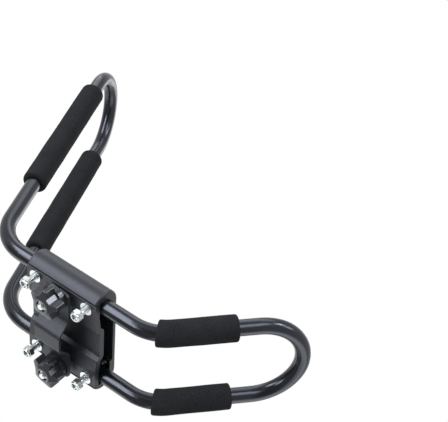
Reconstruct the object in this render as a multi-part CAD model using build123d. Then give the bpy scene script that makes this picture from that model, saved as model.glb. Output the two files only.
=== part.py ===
from build123d import *
import os
from math import cos, hypot, radians, sin, tan

# Kayak carrier of the J kind, clamped on a roof rack crossbar. All sizes are in millimetres.
# X runs along the crossbar towards the short arm, Y along the car, Z up.
# The origin is the middle of the face that sits on top of the crossbar.

# Bent tube: one closed loop of two parallel runs, joined by a round bend at each end
TUBE_OD = 19.0
TUBE_WALL = 1.5
RUN_SPACING = 112.0
TUBE_HEIGHT = 8.0
TALL_BEND_START = 76.0
TALL_BEND_RADIUS = 60.0
TALL_BEND_TURN = 67.5
TALL_LENGTH = 301.0
SHORT_BEND_START = 94.0
SHORT_BEND_RADIUS = 53.0
SHORT_BEND_TURN = 49.0
SHORT_LENGTH = 98.0

# Foam sleeves, placed by their distance from the end of the arm's bend
PAD_OD = 31.0
PAD_EDGE = 2.5
PAD_CLEARANCE = 0.2
TALL_PAD_FROM = 71.0
TALL_PAD_LENGTH = 209.0
SHORT_PAD_ON_BEND = 17.0
SHORT_PAD_ON_ARM = 73.0

# Pressed steel bracket
SHEET = 3.0
BRACKET_LENGTH = 105.0
WRAP_RADIUS = 19.5
WRAP_ANGLE = 52.0
WEB_RIM = 5.5
WEB_OPENING_HALF = 40.0
TUBE_SEAT_CLEARANCE = 0.2
PRESSED_EDGE = 2.2
MOUTH_GAP = 0.85

# Base plate: its underside takes the crossbar
SEAT_HALF = 19.0
SEAT_FLANK = 4.5
SEAT_STEP = 5.2
FLAT_DROP = 7.9
FLAT_FROM = 45.0
PLATE_BEND = 2.0
PLATE_LIP = 6.5
PLATE_EDGE = 1.0
RELIEF_RADIUS = 1.6

# Clamp plate under the crossbar
CLAMP_LENGTH = 38.0
CLAMP_HALF_WIDTH = 66.5
CLAMP_DROP = 16.0
HUMP_DEPTH = 16.0
HUMP_HALF = 11.5
HUMP_FLANK = 16.0
HUMP_BEND = 9.0
CLAMP_CORNER = 6.0

# M8 hardware
BOLT_RADIUS = 4.0
BOLT_HOLE_CLEARANCE = 0.5
BOLT_CHAMFER = 0.8
BOLT_HEAD_RADIUS = 7.0
BOLT_HEAD_HEIGHT = 2.4
BOLT_NECK = 8.0
BOLT_NECK_LENGTH = 4.5
NECK_CLEARANCE = 0.2
FIXING_BOLT_FROM_END = 13.5
FIXING_BOLT_BELOW_PLATE = 17.6
CLAMP_BOLT_BEYOND_KNOB = 2.1
THREAD_CLEARANCE = 0.05
WASHER_RADIUS = 8.0
WASHER_THICKNESS = 1.6
WASHER_CLEARANCE = 0.2
NUT_FLATS = 13.0
NUT_HEX_HEIGHT = 6.2
NUT_COLLAR_RADIUS = 5.9
NUT_COLLAR_HEIGHT = 2.0
NUT_BEYOND_BOLT = 2.6

# Star knobs
KNOB_RADIUS = 20.5
KNOB_LOBES = 5
KNOB_LOBE_TURN = {"front": -13.5, "rear": -5.5}
KNOB_NOTCH_FLOOR = 13.0
KNOB_NOTCH_FLOOR_WIDTH = 6.4
KNOB_NOTCH_WALL_TURN = 54.0
KNOB_LOBE_ROUND = 1.6
KNOB_NOTCH_ROUND = 1.0
KNOB_LOBE_HEIGHT = 12.5
KNOB_HUB_RADIUS = 9.4
KNOB_HUB_HEIGHT = 4.5
KNOB_FLANGE_RADIUS = 16.0
KNOB_FLANGE_HEIGHT = 6.9
KNOB_EDGE = 1.0
KNOB_RECESS_RADIUS = 6.8
KNOB_RECESS_DEPTH = 2.0
KNOB_RUNNING_GAP = 0.1
INSERT_RADIUS = 5.6
INSERT_COLLAR_RADIUS = 7.5
INSERT_COLLAR_HEIGHT = 2.0
INSERT_CLEARANCE = 0.05

# Places worked out from the sizes above
TUBE_RADIUS = TUBE_OD / 2
RUN_Y = RUN_SPACING / 2
WEB_TOP = TUBE_HEIGHT + WRAP_RADIUS
WRAP_INNER = WRAP_RADIUS - SHEET
PLATE_HALF_WIDTH = RUN_Y + WRAP_INNER * cos(radians(WRAP_ANGLE)) - MOUTH_GAP
BOLT_HOLE_RADIUS = BOLT_RADIUS + BOLT_HOLE_CLEARANCE
FIXING_BOLT_OFFSET = BRACKET_LENGTH / 2 - FIXING_BOLT_FROM_END
CLAMP_TOP_OF_KNOB = -CLAMP_DROP - KNOB_RUNNING_GAP
KNOB_HEIGHT = KNOB_FLANGE_HEIGHT + KNOB_LOBE_HEIGHT + KNOB_HUB_HEIGHT
KNOB_FRONT = CLAMP_TOP_OF_KNOB - KNOB_HEIGHT
CLAMP_BOLT_TIP = KNOB_FRONT - CLAMP_BOLT_BEYOND_KNOB
FIXING_BOLT_TIP = -FLAT_DROP - FIXING_BOLT_BELOW_PLATE
BOTTOM = (Align.CENTER, Align.CENTER, Align.MIN)
TOP = (Align.CENTER, Align.CENTER, Align.MAX)
SIDES = {"front": -1, "rear": 1}
ENDS = {"tall": -1, "short": 1}


def arm(end):
    """Direction of one arm, and where its bend starts and ends, in the plane of symmetry."""
    if end == "tall":
        start, radius, turn = TALL_BEND_START, TALL_BEND_RADIUS, TALL_BEND_TURN
    else:
        start, radius, turn = SHORT_BEND_START, SHORT_BEND_RADIUS, SHORT_BEND_TURN
    sign = ENDS[end]
    angle = radians(turn)
    bend_start = Vector(sign * start, 0, TUBE_HEIGHT)
    direction = Vector(sign * cos(angle), 0, sin(angle))
    rise = Vector(0, 0, radius)
    bend_end = bend_start + rise + Vector(sign * sin(angle), 0, -cos(angle)) * radius
    return direction, bend_start, bend_end


def bend_edge(end, y):
    """The bend between the base run and one arm, drawn from the base upwards."""
    _, bend_start, bend_end = arm(end)
    shift = Vector(0, y, 0)
    return TangentArc(bend_start + shift, bend_end + shift, tangent=(ENDS[end], 0, 0))


def half_loop():
    """One run of the loop, from the top of the tall hoop to the tip of the short hoop."""
    shift = Vector(0, RUN_Y, 0)
    tall_direction, tall_bend_start, tall_bend_end = arm("tall")
    short_direction, short_bend_start, short_bend_end = arm("short")
    tall_end = tall_bend_end + tall_direction * TALL_LENGTH
    short_end = short_bend_end + short_direction * SHORT_LENGTH
    tall_tip = tall_end + tall_direction * RUN_Y
    short_tip = short_end + short_direction * RUN_Y
    return Wire([
        TangentArc(tall_tip, tall_end + shift, tangent=(0, 1, 0)),
        Line(tall_end + shift, tall_bend_end + shift),
        bend_edge("tall", RUN_Y),
        Line(tall_bend_start + shift, short_bend_start + shift),
        bend_edge("short", RUN_Y),
        Line(short_bend_end + shift, short_end + shift),
        TangentArc(short_end + shift, short_tip, tangent=short_direction),
    ])


def ring(plane, outer, inner):
    return plane * (Circle(outer) - Circle(inner))


def bolt_places():
    """Every bolt goes through the bracket and the tube: X and Y of all six."""
    along = (-FIXING_BOLT_OFFSET, 0, FIXING_BOLT_OFFSET)
    return [(x, sign * RUN_Y) for x in along for sign in SIDES.values()]


def bolt_holes(radius, low, high):
    holes = [Pos(x, y, low) * Cylinder(radius, high - low, align=BOTTOM) for x, y in bolt_places()]
    return Part() + holes


def tube_loop():
    path = half_loop()
    start = Plane(origin=path @ 0, z_dir=path % 0)
    run = sweep(ring(start, TUBE_RADIUS, TUBE_RADIUS - TUBE_WALL), path=path)
    loop = run + mirror(run, about=Plane.XZ)
    return loop - bolt_holes(BOLT_HOLE_RADIUS, TUBE_HEIGHT - TUBE_OD, TUBE_HEIGHT + TUBE_OD)


def sleeve(path):
    """A foam sleeve along a stretch of tube, with softly rounded end edges."""
    start = Plane(origin=path @ 0, z_dir=path % 0)
    foam = sweep(ring(start, PAD_OD / 2, TUBE_RADIUS + PAD_CLEARANCE), path=path)
    rims = foam.edges().filter_by(GeomType.CIRCLE).filter_by(
        lambda edge: abs(edge.radius - PAD_OD / 2) < PAD_CLEARANCE / 2 and edge.is_closed)
    return fillet(rims, PAD_EDGE)


def tall_pad(side):
    direction, _, bend_end = arm("tall")
    low = bend_end + Vector(0, side * RUN_Y, 0) + direction * TALL_PAD_FROM
    return sleeve(Wire([Line(low, low + direction * TALL_PAD_LENGTH)]))


def short_pad(side):
    """The short sleeve starts on the end of the bend and runs up the arm."""
    y = side * RUN_Y
    direction, _, bend_end = arm("short")
    corner = bend_end + Vector(0, y, 0)
    bend = bend_edge("short", y)
    bend_share = SHORT_PAD_ON_BEND / bend.length
    on_bend = bend.trim(1 - bend_share, 1)
    return sleeve(Wire([on_bend, Line(corner, corner + direction * SHORT_PAD_ON_ARM)]))


def wrap_edges(radius):
    """Cross-section line of the saddle: round each tube and flat across the web, from -Y to +Y."""
    sweep_angle = 90 + WRAP_ANGLE
    return [
        CenterArc((-RUN_Y, TUBE_HEIGHT), radius, 90, sweep_angle),
        Line((-RUN_Y, TUBE_HEIGHT + radius), (RUN_Y, TUBE_HEIGHT + radius)),
        CenterArc((RUN_Y, TUBE_HEIGHT), radius, -WRAP_ANGLE, sweep_angle),
    ]


def wrap_end(radius, side):
    """Lower end of the wrapped sheet at one radius."""
    angle = radians(WRAP_ANGLE)
    return side * (RUN_Y + radius * cos(angle)), TUBE_HEIGHT - radius * sin(angle)


def saddle_opening():
    """What is cut from the saddle's end walls: room for both tubes and a raised middle."""
    reach = RUN_Y + TUBE_RADIUS + TUBE_SEAT_CLEARANCE
    tube_top = TUBE_HEIGHT + TUBE_RADIUS + TUBE_SEAT_CLEARANCE
    floor = -FLAT_DROP - WRAP_RADIUS
    tubes = Pos(0, (tube_top + floor) / 2) * Rectangle(2 * reach, tube_top - floor)
    tubes = fillet(tubes.vertices().group_by(Axis.Y)[-1], TUBE_RADIUS + TUBE_SEAT_CLEARANCE)
    middle_top = WEB_TOP - WEB_RIM
    middle = Pos(0, (middle_top + floor) / 2) * Rectangle(2 * WEB_OPENING_HALF, middle_top - floor)
    middle = fillet(middle.vertices().group_by(Axis.Y)[-1], (middle_top - tube_top) / 2)
    return tubes + middle


def saddle():
    """Pressed cap over both tubes, with end walls that grip them and a hole for each bolt."""
    ends = [Line(wrap_end(WRAP_RADIUS, side), wrap_end(WRAP_INNER, side)) for side in SIDES.values()]
    sheet = make_face(wrap_edges(WRAP_RADIUS) + wrap_edges(WRAP_INNER) + ends)
    mouth = Line(wrap_end(WRAP_INNER, -1), wrap_end(WRAP_INNER, 1))
    wall = make_face(wrap_edges(WRAP_RADIUS) + [
        Line(wrap_end(WRAP_RADIUS, -1), wrap_end(WRAP_INNER, -1)),
        mouth,
        Line(wrap_end(WRAP_INNER, 1), wrap_end(WRAP_RADIUS, 1)),
    ]) - saddle_opening()
    cap = extrude(Plane.YZ * sheet, BRACKET_LENGTH / 2, both=True)
    for sign in ENDS.values():
        inside = Plane.YZ.offset(sign * (BRACKET_LENGTH / 2 - SHEET))
        cap += extrude(inside * wall, sign * SHEET)
    cap = fillet(outer_rim(cap), PRESSED_EDGE)
    half_neck = BOLT_NECK / 2 + NECK_CLEARANCE
    for x, y in bolt_places():
        cap -= Pos(x, y, WEB_TOP) * Box(2 * half_neck, 2 * half_neck, 4 * SHEET)
    return cap


def outer_rim(cap):
    """Edges where the saddle's outside turns into its end walls."""
    ends = cap.edges().filter_by_position(Axis.X, BRACKET_LENGTH / 2, BRACKET_LENGTH / 2)
    ends += cap.edges().filter_by_position(Axis.X, -BRACKET_LENGTH / 2, -BRACKET_LENGTH / 2)
    arcs = [edge for edge in ends if edge.geom_type == GeomType.CIRCLE and edge.radius > WRAP_INNER]
    lines = [edge for edge in ends if edge.geom_type == GeomType.LINE]
    top = [edge for edge in lines if edge.center().Z > WEB_TOP - SHEET / 2]
    return arcs + top


def sheet_face(line, thickness):
    """Closed cross-section of a sheet whose lower side is the given line."""
    return make_face(offset(line, amount=thickness, side=Side.LEFT, closed=True))


def plate_line():
    """Underside of the base plate from -Y to +Y: a raised seat between two dished flats."""
    flank = SEAT_HALF + SEAT_FLANK
    half = [
        (PLATE_HALF_WIDTH, -FLAT_DROP),
        (FLAT_FROM, -FLAT_DROP),
        (flank, -SEAT_STEP),
        (SEAT_HALF, 0),
    ]
    points = [(-y, z) for y, z in half] + half[::-1]
    return FilletPolyline(*points, radius=PLATE_BEND)


def base_plate():
    """Pressed plate that closes the saddle, with turned-up ends that seat the tubes."""
    line = plate_line()
    plate = extrude(Plane.YZ * sheet_face(line, SHEET), BRACKET_LENGTH / 2, both=True)
    lip = sheet_face(line, PLATE_LIP)
    for side in SIDES.values():
        lip -= Pos(side * RUN_Y, TUBE_HEIGHT) * Circle(TUBE_RADIUS + TUBE_SEAT_CLEARANCE)
        step = side * (SEAT_HALF + SEAT_FLANK), SHEET - SEAT_STEP
        lip -= Pos(*step) * Circle(RELIEF_RADIUS)
    for sign in ENDS.values():
        inside = Plane.YZ.offset(sign * (BRACKET_LENGTH / 2 - SHEET))
        plate += extrude(inside * lip, sign * SHEET)
    plate = fillet(plate_edges(plate), PLATE_EDGE)
    return plate - bolt_holes(BOLT_HOLE_RADIUS, -FLAT_DROP - SHEET, SHEET)


def plate_edges(plate):
    """The two long lower edges of the base plate, rounded by the press."""
    long_edges = plate.edges().filter_by(Axis.X)
    return [edge for edge in long_edges if abs(edge.center().Y) > PLATE_HALF_WIDTH - PLATE_EDGE
            and edge.center().Z < -FLAT_DROP + PLATE_EDGE]


def clamp_plate():
    """Pressed plate with a hump that takes the underside of the crossbar."""
    flank = HUMP_HALF + HUMP_FLANK
    half = [
        (CLAMP_HALF_WIDTH, -CLAMP_DROP),
        (flank, -CLAMP_DROP),
        (HUMP_HALF, -CLAMP_DROP - HUMP_DEPTH),
    ]
    points = [(-y, z) for y, z in half] + half[::-1]
    line = FilletPolyline(*points, radius=HUMP_BEND)
    plate = extrude(Plane.YZ * sheet_face(line, SHEET), CLAMP_LENGTH / 2, both=True)
    plate = fillet(plate.edges().filter_by(Axis.Z), CLAMP_CORNER)
    for side in SIDES.values():
        hole = Cylinder(BOLT_HOLE_RADIUS, 4 * SHEET)
        plate -= Pos(0, side * RUN_Y, -CLAMP_DROP) * hole
    return plate


def coach_bolt(x, y, tip):
    """Round-headed bolt with a square neck: head on the web, thread downwards."""
    shank = Pos(x, y, tip) * Cylinder(BOLT_RADIUS, WEB_TOP - tip, align=BOTTOM)
    shank = chamfer(shank.edges().group_by(Axis.Z)[0], BOLT_CHAMFER)
    neck = Pos(x, y, WEB_TOP) * Box(BOLT_NECK, BOLT_NECK, BOLT_NECK_LENGTH, align=TOP)
    dome_radius = (BOLT_HEAD_RADIUS ** 2 + BOLT_HEAD_HEIGHT ** 2) / (2 * BOLT_HEAD_HEIGHT)
    dome = Pos(x, y, WEB_TOP + BOLT_HEAD_HEIGHT - dome_radius) * Sphere(dome_radius)
    head = dome & Pos(x, y, WEB_TOP) * Cylinder(BOLT_HEAD_RADIUS, 2 * BOLT_HEAD_HEIGHT, align=BOTTOM)
    return shank + neck + head


def washer(x, y):
    blank = Cylinder(WASHER_RADIUS, WASHER_THICKNESS, align=TOP)
    hole = Cylinder(BOLT_RADIUS + WASHER_CLEARANCE, WASHER_THICKNESS, align=TOP)
    return Pos(x, y, -FLAT_DROP) * (blank - hole)


def lock_nut(x, y):
    """Hexagon nut with the round collar of its locking ring at the outer end."""
    outer_end = FIXING_BOLT_TIP - NUT_BEYOND_BOLT
    hexagon = extrude(RegularPolygon(NUT_FLATS / 2, 6, major_radius=False), NUT_HEX_HEIGHT)
    collar = Cylinder(NUT_COLLAR_RADIUS, NUT_COLLAR_HEIGHT, align=BOTTOM)
    collar = fillet(collar.edges().group_by(Axis.Z)[0], NUT_COLLAR_HEIGHT / 2)
    body = Pos(0, 0, NUT_COLLAR_HEIGHT) * hexagon + collar
    height = NUT_HEX_HEIGHT + NUT_COLLAR_HEIGHT
    bore = Cylinder(BOLT_RADIUS + THREAD_CLEARANCE, height, align=BOTTOM)
    return Pos(x, y, outer_end) * (body - bore)


def knob_notch():
    """Notch between two lobes: a flat floor and two slanted walls, drawn with its floor on the Y axis."""
    half_floor = KNOB_NOTCH_FLOOR_WIDTH / 2
    reach = KNOB_RADIUS
    half_mouth = half_floor + reach * tan(radians(KNOB_NOTCH_WALL_TURN))
    return make_face(Polyline(
        (0, -half_floor), (reach, -half_mouth), (reach, half_mouth), (0, half_floor), close=True))


def knob(side_name):
    """Star knob: lobes that fall away from a flat round the bolt, with a flange against the clamp plate."""
    star = Sketch() + Circle(KNOB_RADIUS)
    step = 360 / KNOB_LOBES
    first = KNOB_LOBE_TURN[side_name] + step / 2
    for notch in PolarLocations(KNOB_NOTCH_FLOOR, KNOB_LOBES, start_angle=first):
        star -= notch * knob_notch()
    floor_reach = hypot(KNOB_NOTCH_FLOOR, KNOB_NOTCH_FLOOR_WIDTH / 2) + KNOB_NOTCH_ROUND
    tips = [vertex for vertex in star.vertices() if hypot(vertex.X, vertex.Y) > floor_reach]
    star = fillet(tips, KNOB_LOBE_ROUND)
    corners = [vertex for vertex in star.vertices() if hypot(vertex.X, vertex.Y) < floor_reach]
    star = fillet(corners, KNOB_NOTCH_ROUND)
    blank = Cone(KNOB_HUB_RADIUS, KNOB_RADIUS, KNOB_HUB_HEIGHT, align=BOTTOM)
    blank += Pos(0, 0, KNOB_HUB_HEIGHT) * Cylinder(KNOB_RADIUS, KNOB_LOBE_HEIGHT, align=BOTTOM)
    lobes = blank & extrude(star, KNOB_HUB_HEIGHT + KNOB_LOBE_HEIGHT)
    slope = lobes.faces().filter_by(GeomType.CONE).sort_by(Axis.Z)[0]
    lobes = fillet(slope.edges(), KNOB_EDGE)
    flange = Cylinder(KNOB_FLANGE_RADIUS, KNOB_FLANGE_HEIGHT, align=TOP)
    flange = fillet(flange.edges().group_by(Axis.Z)[-1], KNOB_EDGE)
    body = lobes + Pos(0, 0, KNOB_HEIGHT) * flange
    body -= Cylinder(KNOB_RECESS_RADIUS, KNOB_RECESS_DEPTH, align=BOTTOM)
    body -= Cylinder(INSERT_RADIUS + INSERT_CLEARANCE, KNOB_HEIGHT, align=BOTTOM)
    collar = Cylinder(INSERT_COLLAR_RADIUS + INSERT_CLEARANCE, INSERT_COLLAR_HEIGHT, align=TOP)
    body -= Pos(0, 0, KNOB_HEIGHT) * collar
    return Pos(0, SIDES[side_name] * RUN_Y, KNOB_FRONT) * body


def knob_insert(side):
    """Threaded sleeve moulded into the knob, with a collar at the clamp plate end."""
    length = KNOB_HEIGHT - KNOB_RECESS_DEPTH
    sleeve_body = Cylinder(INSERT_RADIUS, length, align=TOP)
    sleeve_body += Cylinder(INSERT_COLLAR_RADIUS, INSERT_COLLAR_HEIGHT - INSERT_CLEARANCE, align=TOP)
    sleeve_body -= Cylinder(BOLT_RADIUS + THREAD_CLEARANCE, length, align=TOP)
    return Pos(0, side * RUN_Y, CLAMP_TOP_OF_KNOB) * sleeve_body


def build():
    """Every piece of the carrier by its node name."""
    pieces = {
        "tube_loop": tube_loop(),
        "saddle": saddle(),
        "base_plate": base_plate(),
        "clamp_plate": clamp_plate(),
    }
    for side_name, side in SIDES.items():
        y = side * RUN_Y
        pieces[f"tall_pad_{side_name}"] = tall_pad(side)
        pieces[f"short_pad_{side_name}"] = short_pad(side)
        pieces[f"clamp_bolt_{side_name}"] = coach_bolt(0, y, CLAMP_BOLT_TIP)
        pieces[f"knob_{side_name}"] = knob(side_name)
        pieces[f"knob_insert_{side_name}"] = knob_insert(side)
        for end_name, end in ENDS.items():
            x = end * FIXING_BOLT_OFFSET
            place = f"{end_name}_{side_name}"
            pieces[f"fixing_bolt_{place}"] = coach_bolt(x, y, FIXING_BOLT_TIP)
            pieces[f"fixing_washer_{place}"] = washer(x, y)
            pieces[f"fixing_nut_{place}"] = lock_nut(x, y)
    return pieces


os.makedirs("parts", exist_ok=True)
for node, piece in build().items():
    export_step(piece, f"parts/{node}.step")
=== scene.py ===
from math import ceil, cos, hypot, pi, radians, sin, sqrt, tan

import bmesh
import bpy
from mathutils import Matrix, Vector, noise


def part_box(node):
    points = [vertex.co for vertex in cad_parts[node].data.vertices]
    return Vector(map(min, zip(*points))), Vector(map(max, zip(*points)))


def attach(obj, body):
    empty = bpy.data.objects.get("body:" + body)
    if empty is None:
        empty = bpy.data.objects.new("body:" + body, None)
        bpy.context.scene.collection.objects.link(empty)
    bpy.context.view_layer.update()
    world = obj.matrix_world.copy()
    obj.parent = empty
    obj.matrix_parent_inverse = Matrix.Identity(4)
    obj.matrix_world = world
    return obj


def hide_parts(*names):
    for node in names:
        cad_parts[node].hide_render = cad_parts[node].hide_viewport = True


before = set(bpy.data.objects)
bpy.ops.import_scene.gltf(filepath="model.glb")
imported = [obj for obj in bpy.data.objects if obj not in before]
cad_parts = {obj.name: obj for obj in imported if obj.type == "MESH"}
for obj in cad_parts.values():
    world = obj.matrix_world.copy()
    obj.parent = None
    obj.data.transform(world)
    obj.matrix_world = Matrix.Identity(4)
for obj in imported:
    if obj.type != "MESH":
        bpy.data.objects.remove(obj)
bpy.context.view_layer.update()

# Sizes of the carrier that the dressed pieces share with its solids, in metres
MM = 0.001
TUBE_HEIGHT = 8 * MM
RUN_Y = 56 * MM
TALL_BEND_START = 76 * MM
TALL_BEND_RADIUS = 60 * MM
TALL_BEND_TURN = radians(67.5)
SHORT_BEND_START = 94 * MM
SHORT_BEND_RADIUS = 53 * MM
SHORT_BEND_TURN = radians(49)

# The sides with their signs along Y, and the ends with theirs along X
SIDES = {"front": -1, "rear": 1}
ENDS = {"tall": -1, "short": 1}

# Foam sleeves
PAD_RADIUS = 15.5 * MM
PAD_BORE = 9.7 * MM
PAD_EDGE = 2.5 * MM
PAD_EDGE_STEPS = 4
PAD_AROUND = 48
PAD_STEP = 6 * MM
PAD_BEND_STEPS = 5
PAD_CREASE = radians(50)
TALL_PAD_FROM = 71 * MM
TALL_PAD_LENGTH = 209 * MM
SHORT_PAD_ON_BEND = 17 * MM
SHORT_PAD_ON_ARM = 73 * MM
FOAM_WAVE = 28 * MM
FOAM_WAVE_HEIGHT = 0.35 * MM

# M8 coach bolts. The thread's profile is a share of its depth and of its pitch at each corner
BOLT_RADIUS = 4 * MM
BOLT_AROUND = 40
BOLT_CREASE = radians(35)
THREAD_PITCH = 1.25 * MM
THREAD_ROOT = 3.25 * MM
THREAD_PROFILE = ((0, 0.0), (1, 0.38), (1, 0.5), (0, 0.88), (0, 1.0))
THREAD_AROUND = 20
THREAD_SPARE_TURNS = 1
THREAD_TOP = -2 * MM
TIP_RADIUS = 3 * MM
BOLT_HEAD_RADIUS = 7 * MM
BOLT_HEAD_HEIGHT = 2.4 * MM
BOLT_HEAD_STEPS = 8
BOLT_NECK = 8 * MM
BOLT_NECK_LENGTH = 4.5 * MM

# Points of a turned shape that are nearer than this become one
MERGE = 0.01 * MM

# Lock nuts
NUT_FLATS = 13 * MM
NUT_HEX_HEIGHT = 6.2 * MM
NUT_TURN = radians(30)
NUT_FACE_RADIUS = 6.2 * MM
NUT_CHAMFER = radians(30)
NUT_CUTS = 7
NUT_BORE = 4.05 * MM
NUT_COLLAR_RADIUS = 5.9 * MM
NUT_COLLAR_ROUND = 1 * MM
NUT_COLLAR_STEPS = 3
NUT_CREASE = radians(25)

# Patterns of the finishes, each by the size of its blotches
FILM_CLOUD = 35 * MM
ORANGE_PEEL = 1.6 * MM
FOAM_CELL = 1.4 * MM
FOAM_SKIN = 22 * MM
NYLON_FLOW = 6 * MM
ZINC_GRAIN = 3 * MM
PAPER_FIBRE = 4 * MM

# How deep the foam's cells are, and how much the clouds of its skin add to their tone
FOAM_CELL_DEPTH = 0.25 * MM
FOAM_SKIN_SHARE = 0.25

# Between these two values lies nearly all of Blender's noise
NOISE_LOW = 0.3
NOISE_HIGH = 0.7

# Sockets of the Mix node where it mixes colours
MIX_FIRST = 6
MIX_SECOND = 7
MIX_RESULT = 2

# The camera, solved from the outline of the tube in the photograph
CAMERA_PLACE = Vector((0.69435, -1.0126, -0.7242))
CAMERA_RIGHT = Vector((0.7866, -0.0784, 0.6125))
CAMERA_FORWARD = Vector((-0.4321, 0.6386, 0.6367))
CAMERA_LENS = 98.15
SENSOR_WIDTH = 36.0

# Studio lamps round the bracket: direction, distance, width and height in metres, and a brightness
# that is 1 for white paper
LIT_POINT = Vector((0, 0, 80 * MM))
LAMPS = {
    # The long streak under the tubes and the saddle
    "key_box": ((-0.45, -0.71, -0.53), 1.4, 0.55, 1.6, 11.0),
    # The upper run of the short hoop
    "front_box": ((0.516, -0.853, -0.081), 1.7, 0.7, 0.9, 5.4),
    # The tall arm and the upper half of the saddle
    "sky_box": ((-0.36, -0.63, 0.69), 1.7, 2.2, 0.8, 2.2),
    # The plates' undersides
    "left_box": ((-0.50, 0.70, -0.52), 1.6, 0.9, 0.9, 1.3),
    # The notches of the front knob, and then of the rear one
    "right_box": ((0.615, -0.649, 0.449), 1.8, 0.4, 0.4, 20.0),
    "side_box": ((0.79, -0.39, 0.47), 1.8, 0.4, 0.4, 9.0),
    # The short hoop's round end
    "low_box": ((0.62, 0.66, -0.42), 1.7, 1.1, 1.8, 1.9),
    # The carrier's top and back, and the floor
    "roof_box": ((0.1, 0.6, 1.0), 1.8, 1.0, 1.0, 2.0),
}

# The white surround lights the carrier less than it shows. The floor is far down, for views from below
SURROUND_FILL = 0.3
FLOOR_RADIUS = 4.0
FLOOR_AROUND = 96
FLOOR_HEIGHT = -2.2


def linear(hex_colour):
    """Linear red, green, blue and alpha of an sRGB colour such as #26272a."""
    parts = [int(hex_colour[i:i + 2], 16) / 255 for i in (1, 3, 5)]
    return [c / 12.92 if c <= 0.04045 else ((c + 0.055) / 1.055) ** 2.4 for c in parts] + [1.0]


def add_node(tree, kind, inputs, **settings):
    """Adds a node: sockets in inputs are linked, other values set, and settings are its own options."""
    node = tree.nodes.new(kind)
    for option, value in settings.items():
        setattr(node, option, value)
    for socket, value in inputs.items():
        if isinstance(value, bpy.types.NodeSocket):
            tree.links.new(value, node.inputs[socket])
        else:
            node.inputs[socket].default_value = value
    return node


def new_material(name):
    """An empty node material, with its tree."""
    material = bpy.data.materials.new(name)
    material.use_nodes = True
    material.node_tree.nodes.clear()
    return material, material.node_tree


def grain(tree, size, detail=2.0, roughness=0.5):
    """Solid noise whose blotches are about one size across, in metres."""
    place = add_node(tree, "ShaderNodeTexCoord", {})
    return add_node(tree, "ShaderNodeTexNoise", {
        "Vector": place.outputs["Object"], "Scale": 1 / size, "Detail": detail, "Roughness": roughness})


def finish_surface(material, tree, shader):
    """Makes a shader the surface of its material."""
    add_node(tree, "ShaderNodeOutputMaterial", {"Surface": shader.outputs["BSDF"]})
    return material


def powder_coat(name, dark, light, shine, smooth, rough, gloss, peel_height):
    """Black powder coat, baked on steel: an even dark film, with the orange peel that powder leaves."""
    material, tree = new_material(name)
    # Clouds of slightly thicker film
    film = grain(tree, FILM_CLOUD)
    colour = add_node(tree, "ShaderNodeMix", {
        "Factor": film.outputs["Fac"], MIX_FIRST: linear(dark), MIX_SECOND: linear(light)},
        data_type="RGBA")
    # Orange peel is about 1 mm across on a real coat, and is drawn coarser so that it shows
    peel = grain(tree, ORANGE_PEEL, detail=3.0)
    gloss_range = add_node(tree, "ShaderNodeMapRange", {
        "Value": peel.outputs["Fac"], "From Min": NOISE_LOW, "From Max": NOISE_HIGH,
        "To Min": smooth, "To Max": rough})
    bump = add_node(tree, "ShaderNodeBump", {
        "Height": peel.outputs["Fac"], "Strength": 1.0, "Distance": peel_height})
    shader = add_node(tree, "ShaderNodeBsdfPrincipled", {
        "Base Color": colour.outputs[MIX_RESULT], "Roughness": gloss_range.outputs["Result"], "IOR": 1.5,
        "Specular IOR Level": gloss, "Specular Tint": linear(shine), "Normal": bump.outputs["Normal"]})
    return finish_surface(material, tree, shader)


def closed_cell_foam():
    """Black nitrile foam, extruded as a sleeve: dull, with a fine pebbled skin and no shine."""
    material, tree = new_material("closed_cell_foam")
    # Cells are about 0.5 mm across on real foam, and are drawn coarser so that they show
    cells = grain(tree, FOAM_CELL, detail=4.0, roughness=0.7)
    skin = grain(tree, FOAM_SKIN)
    tone = add_node(tree, "ShaderNodeMath", {
        0: skin.outputs["Fac"], 1: FOAM_SKIN_SHARE, 2: cells.outputs["Fac"]}, operation="MULTIPLY_ADD")
    colour = add_node(tree, "ShaderNodeValToRGB", {"Fac": tone.outputs["Value"]})
    dark, light = colour.color_ramp.elements
    dark.position = 0.4
    dark.color = linear("#0f1012")
    light.position = 0.85
    light.color = linear("#252629")
    bump = add_node(tree, "ShaderNodeBump", {
        "Height": cells.outputs["Fac"], "Strength": 0.6, "Distance": FOAM_CELL_DEPTH})
    shader = add_node(tree, "ShaderNodeBsdfPrincipled", {
        "Base Color": colour.outputs["Color"], "Roughness": 0.95, "IOR": 1.45,
        "Specular IOR Level": 0.12, "Normal": bump.outputs["Normal"]})
    return finish_surface(material, tree, shader)


def moulded_nylon():
    """Glass-filled black nylon, moulded: deep black and glossy, with a faint flow mottle."""
    material, tree = new_material("moulded_nylon")
    flow = grain(tree, NYLON_FLOW, detail=3.0)
    colour = add_node(tree, "ShaderNodeMix", {
        "Factor": flow.outputs["Fac"], MIX_FIRST: linear("#1b1c1e"), MIX_SECOND: linear("#242528")},
        data_type="RGBA")
    gloss_range = add_node(tree, "ShaderNodeMapRange", {
        "Value": flow.outputs["Fac"], "From Min": NOISE_LOW, "From Max": NOISE_HIGH,
        "To Min": 0.2, "To Max": 0.26})
    shader = add_node(tree, "ShaderNodeBsdfPrincipled", {
        "Base Color": colour.outputs[MIX_RESULT], "Roughness": gloss_range.outputs["Result"], "IOR": 1.53,
        "Specular IOR Level": 0.5, "Specular Tint": linear("#eaf0ff")})
    return finish_surface(material, tree, shader)


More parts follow.
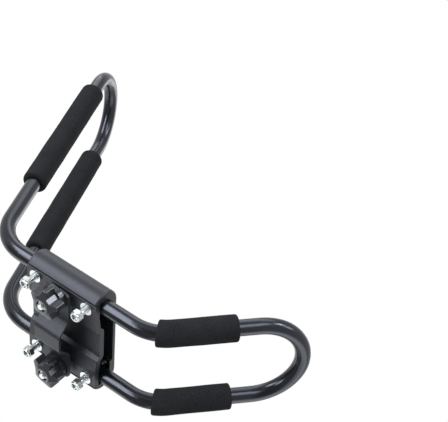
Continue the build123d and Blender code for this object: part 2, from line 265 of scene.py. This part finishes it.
def bright_zinc():
    """Steel with a bright zinc plating: a pale metal with a soft shine that is a little uneven."""
    material, tree = new_material("bright_zinc_plate")
    plate = grain(tree, ZINC_GRAIN, detail=3.0)
    colour = add_node(tree, "ShaderNodeMix", {
        "Factor": plate.outputs["Fac"], MIX_FIRST: linear("#b4babd"), MIX_SECOND: linear("#d4d7d6")},
        data_type="RGBA")
    gloss_range = add_node(tree, "ShaderNodeMapRange", {
        "Value": plate.outputs["Fac"], "From Min": NOISE_LOW, "From Max": NOISE_HIGH,
        "To Min": 0.24, "To Max": 0.36})
    shader = add_node(tree, "ShaderNodeBsdfPrincipled", {
        "Base Color": colour.outputs[MIX_RESULT], "Metallic": 1.0,
        "Roughness": gloss_range.outputs["Result"]})
    return finish_surface(material, tree, shader)


def pale_floor():
    """Matte paper sweep: an even off-white."""
    material, tree = new_material("paper_sweep")
    fibre = grain(tree, PAPER_FIBRE)
    colour = add_node(tree, "ShaderNodeMix", {
        "Factor": fibre.outputs["Fac"], MIX_FIRST: linear("#eeeeec"), MIX_SECOND: linear("#f4f4f2")},
        data_type="RGBA")
    shader = add_node(tree, "ShaderNodeBsdfPrincipled", {
        "Base Color": colour.outputs[MIX_RESULT], "Roughness": 0.9, "Specular IOR Level": 0.1})
    return finish_surface(material, tree, shader)


def new_piece(name, bm, material, body):
    """Turns a finished bmesh into a piece of the carrier that rides on a body."""
    bmesh.ops.recalc_face_normals(bm, faces=bm.faces[:])
    mesh = bpy.data.meshes.new(name)
    bm.to_mesh(mesh)
    bm.free()
    mesh.materials.append(material)
    piece = bpy.data.objects.new(name, mesh)
    bpy.context.scene.collection.objects.link(piece)
    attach(piece, body)
    return piece


def soften(piece, angle):
    """Smooth shading, with edges sharper than the angle kept crisp."""
    piece.data.shade_smooth()
    piece.data.set_sharp_from_angle(angle=angle)


def arm_frame(end):
    """Axes of one arm as a matrix: Z up the arm, Y along the car, placed where the arm's bend ends."""
    if end == "tall":
        start, radius, turn = TALL_BEND_START, TALL_BEND_RADIUS, TALL_BEND_TURN
    else:
        start, radius, turn = SHORT_BEND_START, SHORT_BEND_RADIUS, SHORT_BEND_TURN
    sign = ENDS[end]
    along = Vector((sign * cos(turn), 0, sin(turn)))
    across = Vector((0, 1, 0))
    outward = across.cross(along)
    place = Vector((sign * (start + radius * sin(turn)), 0, TUBE_HEIGHT + radius * (1 - cos(turn))))
    return Matrix.Translation(place) @ Matrix((outward, across, along)).transposed().to_4x4()


def foam_ring(bm):
    """The sleeve's flat cross-section round the tube: a ring of faces about Z."""
    outer = bmesh.ops.create_circle(bm, segments=PAD_AROUND, radius=PAD_RADIUS)["verts"]
    inner = bmesh.ops.create_circle(bm, segments=PAD_AROUND, radius=PAD_BORE)["verts"]
    edges = {edge for vert in outer + inner for edge in vert.link_edges}
    return bmesh.ops.bridge_loops(bm, edges=list(edges))["faces"]


def carry_ring(bm, low, moves):
    """Carries a ring of faces along by one move after another, and leaves no wall inside."""
    faces = low
    for move in moves:
        grown = bmesh.ops.extrude_face_region(bm, geom=faces)["geom"]
        verts = [item for item in grown if isinstance(item, bmesh.types.BMVert)]
        bmesh.ops.transform(bm, matrix=move, verts=verts)
        if faces is not low:
            bmesh.ops.delete(bm, geom=faces, context="FACES")
        faces = [item for item in grown if isinstance(item, bmesh.types.BMFace)]
    return faces


def round_bend(angle):
    """A turn about the centre of the short arm's bend, downwards from where the bend ends."""
    centre = Matrix.Translation((-SHORT_BEND_RADIUS, 0, 0))
    return centre @ Matrix.Rotation(angle, 4, "Y") @ centre.inverted()


def outer_rims(bm, caps):
    """The outer edge loops of a sleeve's end faces, which have longer edges than those round the bore."""
    rims = []
    for edge in bm.edges:
        beside = [face in caps for face in edge.link_faces]
        if any(beside) and not all(beside):
            rims.append(edge)
    lengths = [edge.calc_length() for edge in rims]
    middle = (min(lengths) + max(lengths)) / 2
    return [edge for edge in rims if edge.calc_length() > middle]


def foam_sleeve(name, node, place, length, bend):
    """A foam sleeve: from the place straight up the arm, after a stretch of the bend if there is one."""
    bm = bmesh.new()
    low = foam_ring(bm)
    steps = round(length / PAD_STEP)
    moves = [Matrix.Translation((0, 0, length / steps))] * steps
    if bend:
        turn = bend / SHORT_BEND_RADIUS
        bmesh.ops.transform(bm, matrix=round_bend(turn), verts=bm.verts[:])
        moves = [round_bend(-turn / PAD_BEND_STEPS)] * PAD_BEND_STEPS + moves
    high = carry_ring(bm, low, moves)
    bmesh.ops.bevel(
        bm, geom=outer_rims(bm, set(low) | set(high)), offset=PAD_EDGE, affect="EDGES",
        segments=PAD_EDGE_STEPS, profile=0.5, material=-1)
    bmesh.ops.transform(bm, matrix=place, verts=bm.verts[:])
    bmesh.ops.recalc_face_normals(bm, faces=bm.faces[:])
    bm.normal_update()
    # Extruded foam is never quite straight: a slow swell and dip of a fraction of a millimetre
    for vert in bm.verts:
        swell = noise.noise(vert.co / FOAM_WAVE) * FOAM_WAVE_HEIGHT
        vert.co += vert.normal * swell
    piece = new_piece(name, bm, FOAM, "carrier")
    soften(piece, PAD_CREASE)
    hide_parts(node)


def foam_sleeves():
    """The four sleeves, two on each arm."""
    for side_name, side in SIDES.items():
        across = Matrix.Translation((0, side * RUN_Y, 0))
        tall = across @ arm_frame("tall") @ Matrix.Translation((0, 0, TALL_PAD_FROM))
        foam_sleeve(f"tall_foam_{side_name}", f"tall_pad_{side_name}", tall, TALL_PAD_LENGTH, 0)
        short = across @ arm_frame("short")
        foam_sleeve(
            f"short_foam_{side_name}", f"short_pad_{side_name}", short, SHORT_PAD_ON_ARM, SHORT_PAD_ON_BEND)


def lathe(bm, profile, around):
    """Turns a profile of radius and height round the Z axis into a closed shell."""
    verts = [bm.verts.new((radius, 0, height)) for radius, height in profile]
    edges = [bm.edges.new(pair) for pair in zip(verts, verts[1:])]
    bmesh.ops.spin(
        bm, geom=verts + edges, cent=(0, 0, 0), axis=(0, 0, 1), angle=2 * pi, steps=around, use_merge=True)
    bmesh.ops.remove_doubles(bm, verts=bm.verts[:], dist=MERGE)


def screw_thread(bm, low, high):
    """A right-hand thread between two heights, cut flat at both, with a chamfered tip."""
    # The spare turns at both ends are cut off below
    turns = ceil((high - low) / THREAD_PITCH) + 2 * THREAD_SPARE_TURNS
    depth = BOLT_RADIUS - THREAD_ROOT
    start = low - THREAD_SPARE_TURNS * THREAD_PITCH
    verts = [
        bm.verts.new((THREAD_ROOT + raised * depth, 0, start + share * THREAD_PITCH))
        for raised, share in THREAD_PROFILE]
    edges = [bm.edges.new(pair) for pair in zip(verts, verts[1:])]
    bmesh.ops.spin(
        bm, geom=verts + edges, cent=(0, 0, 0), axis=(0, 0, 1), angle=turns * 2 * pi,
        steps=turns * THREAD_AROUND, dvec=(0, 0, THREAD_PITCH / THREAD_AROUND))
    bmesh.ops.remove_doubles(bm, verts=bm.verts[:], dist=MERGE)
    for height, facing in ((low, -1), (high, 1)):
        cut = bmesh.ops.bisect_plane(
            bm, geom=bm.verts[:] + bm.edges[:] + bm.faces[:], plane_co=(0, 0, height),
            plane_no=(0, 0, facing), clear_outer=True)["geom_cut"]
        rim = [item for item in cut if isinstance(item, bmesh.types.BMEdge)]
        bmesh.ops.edgeloop_fill(bm, edges=rim)
    # The tip's chamfer, at 45 degrees
    for vert in bm.verts:
        reach = hypot(vert.co.x, vert.co.y)
        limit = TIP_RADIUS + vert.co.z - low
        if reach > limit:
            vert.co.x *= limit / reach
            vert.co.y *= limit / reach


def coach_bolt(name, node):
    """Round-headed bolt: a low dome over a square neck, a plain shank and a rolled thread."""
    low_corner, high_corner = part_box(node)
    middle = (low_corner + high_corner) / 2
    tip, crown = low_corner.z, high_corner.z
    web = crown - BOLT_HEAD_HEIGHT
    bm = bmesh.new()
    screw_thread(bm, tip, THREAD_TOP)
    dome = (BOLT_HEAD_RADIUS ** 2 + BOLT_HEAD_HEIGHT ** 2) / (2 * BOLT_HEAD_HEIGHT)
    profile = [(0, THREAD_TOP), (BOLT_RADIUS, THREAD_TOP), (BOLT_RADIUS, web)]
    for step in range(BOLT_HEAD_STEPS + 1):
        radius = BOLT_HEAD_RADIUS * (1 - step / BOLT_HEAD_STEPS)
        profile.append((radius, crown - dome + sqrt(dome ** 2 - radius ** 2)))
    lathe(bm, profile, BOLT_AROUND)
    neck = bmesh.ops.create_cube(bm, size=1)["verts"]
    bmesh.ops.scale(bm, verts=neck, vec=(BOLT_NECK, BOLT_NECK, BOLT_NECK_LENGTH))
    bmesh.ops.translate(bm, verts=neck, vec=(0, 0, web - BOLT_NECK_LENGTH / 2))
    bmesh.ops.translate(bm, verts=bm.verts[:], vec=(middle.x, middle.y, 0))
    piece = new_piece(name, bm, ZINC, "carrier")
    soften(piece, BOLT_CREASE)
    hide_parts(node)


def raise_ring(bm, edges, move):
    """Extrudes a ring of edges and moves each new vertex by a rule."""
    grown = bmesh.ops.extrude_edge_only(bm, edges=edges)["geom"]
    for vert in (item for item in grown if isinstance(item, bmesh.types.BMVert)):
        vert.co = move(vert.co)
    return [item for item in grown if isinstance(item, bmesh.types.BMEdge)]


def at_radius(point, radius, height):
    """The same direction from the axis at another radius and height."""
    reach = hypot(point.x, point.y)
    return Vector((point.x * radius / reach, point.y * radius / reach, height))


def lock_nut(name, node):
    """Hexagon nut with chamfered corners and the round collar of its locking ring."""
    low_corner, high_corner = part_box(node)
    middle = (low_corner + high_corner) / 2
    end, top = low_corner.z, high_corner.z
    base = top - NUT_HEX_HEIGHT
    bm = bmesh.new()
    bmesh.ops.create_circle(bm, segments=6, radius=NUT_FLATS / sqrt(3))
    bmesh.ops.rotate(bm, verts=bm.verts[:], cent=(0, 0, 0), matrix=Matrix.Rotation(NUT_TURN, 3, "Z"))
    bmesh.ops.subdivide_edges(bm, edges=bm.edges[:], cuts=NUT_CUTS)
    outline = bm.edges[:]
    for vert in bm.verts:
        vert.co.z = base + (hypot(vert.co.x, vert.co.y) - NUT_FACE_RADIUS) * tan(NUT_CHAMFER)
    # From the lower edge of the flats up to the top face, and down to the bottom face
    upper = raise_ring(bm, outline, lambda p: Vector((p.x, p.y, top + base - p.z)))
    upper = raise_ring(bm, upper, lambda p: at_radius(p, NUT_FACE_RADIUS, top))
    upper = raise_ring(bm, upper, lambda p: at_radius(p, NUT_BORE, top))
    lower = raise_ring(bm, outline, lambda p: at_radius(p, NUT_FACE_RADIUS, base))
    lower = raise_ring(bm, lower, lambda p: at_radius(p, NUT_BORE, base))
    bmesh.ops.bridge_loops(bm, edges=upper + lower)
    lip = NUT_COLLAR_RADIUS - NUT_COLLAR_ROUND
    profile = [(NUT_BORE, base), (NUT_COLLAR_RADIUS, base)]
    for step in range(NUT_COLLAR_STEPS + 1):
        turn = pi / 2 * step / NUT_COLLAR_STEPS
        profile.append((lip + NUT_COLLAR_ROUND * cos(turn), end + NUT_COLLAR_ROUND * (1 - sin(turn))))
    profile += [(NUT_BORE, end), (NUT_BORE, base)]
    lathe(bm, profile, BOLT_AROUND)
    bmesh.ops.translate(bm, verts=bm.verts[:], vec=(middle.x, middle.y, 0))
    piece = new_piece(name, bm, ZINC, "carrier")
    soften(piece, NUT_CREASE)
    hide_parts(node)


def fasteners():
    """The clamp bolts, the fixing bolts and their nuts."""
    for side_name in SIDES:
        coach_bolt(f"clamp_screw_{side_name}", f"clamp_bolt_{side_name}")
        for end_name in ENDS:
            place = f"{end_name}_{side_name}"
            coach_bolt(f"fixing_screw_{place}", f"fixing_bolt_{place}")
            lock_nut(f"fixing_lock_nut_{place}", f"fixing_nut_{place}")


def dress(node, material):
    """Gives a solid of the carrier its finish."""
    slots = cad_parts[node].data.materials
    slots.clear()
    slots.append(material)


def dress_solids():
    """Finishes on the solids that show as they are."""
    dress("tube_loop", TUBE_COAT)
    for node in ("saddle", "base_plate", "clamp_plate"):
        dress(node, BRACKET_COAT)
    for side_name in SIDES:
        dress(f"knob_{side_name}", NYLON)
        dress(f"knob_insert_{side_name}", ZINC)
        for end_name in ENDS:
            dress(f"fixing_washer_{end_name}_{side_name}", ZINC)


def photo_camera():
    """The camera where the photograph was taken from."""
    forward = CAMERA_FORWARD.normalized()
    right = (CAMERA_RIGHT - forward * CAMERA_RIGHT.dot(forward)).normalized()
    up = right.cross(forward)
    data = bpy.data.cameras.new("photo_camera")
    data.sensor_fit = "HORIZONTAL"
    data.sensor_width = SENSOR_WIDTH
    data.lens = CAMERA_LENS
    camera = bpy.data.objects.new("photo_camera", data)
    turn = Matrix((right, up, -forward)).transposed().to_4x4()
    camera.matrix_world = Matrix.Translation(CAMERA_PLACE) @ turn
    bpy.context.scene.collection.objects.link(camera)
    bpy.context.scene.camera = camera


def soft_box(name, direction, distance, width, height, brightness):
    """A rectangular studio lamp that faces the bracket."""
    data = bpy.data.lights.new(name, "AREA")
    data.shape = "RECTANGLE"
    data.size = width
    data.size_y = height
    data.energy = brightness * pi * width * height
    lamp = bpy.data.objects.new(name, data)
    way = Vector(direction).normalized()
    lamp.location = LIT_POINT + way * distance
    lamp.rotation_euler = way.to_track_quat("Z", "Y").to_euler()
    lamp.visible_camera = False
    bpy.context.scene.collection.objects.link(lamp)


def white_surround():
    """A world that shows white to the camera and in reflections, and fills shadows with less light."""
    world = bpy.data.worlds.new("white_surround")
    world.use_nodes = True
    tree = world.node_tree
    tree.nodes.clear()
    path = add_node(tree, "ShaderNodeLightPath", {})
    seen = add_node(tree, "ShaderNodeMath", {
        0: path.outputs["Is Camera Ray"], 1: path.outputs["Is Glossy Ray"]}, operation="MAXIMUM")
    seen = add_node(tree, "ShaderNodeMath", {
        0: seen.outputs["Value"], 1: path.outputs["Is Transmission Ray"]}, operation="MAXIMUM")
    level = add_node(tree, "ShaderNodeMapRange", {
        "Value": seen.outputs["Value"], "To Min": SURROUND_FILL, "To Max": 1.0})
    background = add_node(tree, "ShaderNodeBackground", {
        "Color": linear("#ffffff"), "Strength": level.outputs["Result"]})
    add_node(tree, "ShaderNodeOutputWorld", {"Surface": background.outputs["Background"]})
    bpy.context.scene.world = world


def studio_floor():
    """A round pale floor, well below the carrier."""
    bm = bmesh.new()
    bmesh.ops.create_circle(bm, cap_ends=True, segments=FLOOR_AROUND, radius=FLOOR_RADIUS)
    bmesh.ops.translate(bm, verts=bm.verts[:], vec=(0, 0, FLOOR_HEIGHT))
    mesh = bpy.data.meshes.new("studio_floor")
    bm.to_mesh(mesh)
    bm.free()
    mesh.materials.append(pale_floor())
    floor = bpy.data.objects.new("studio_floor", mesh)
    bpy.context.scene.collection.objects.link(floor)


# The tubes are glossier than the bracket, whose pressed sheet shows more orange peel
TUBE_COAT = powder_coat(
    "tube_powder_coat", dark="#090a0c", light="#0e0f11", shine="#e2eaff",
    smooth=0.18, rough=0.24, gloss=0.44, peel_height=0.0012 * MM)
BRACKET_COAT = powder_coat(
    "bracket_powder_coat", dark="#131417", light="#1b1c20", shine="#e8eeff",
    smooth=0.41, rough=0.49, gloss=0.42, peel_height=0.01 * MM)
FOAM = closed_cell_foam()
NYLON = moulded_nylon()
ZINC = bright_zinc()

foam_sleeves()
fasteners()
dress_solids()
photo_camera()
for lamp_name, lamp_values in LAMPS.items():
    soft_box(lamp_name, *lamp_values)
white_surround()
studio_floor()
bpy.context.scene.view_settings.view_transform = "Standard"
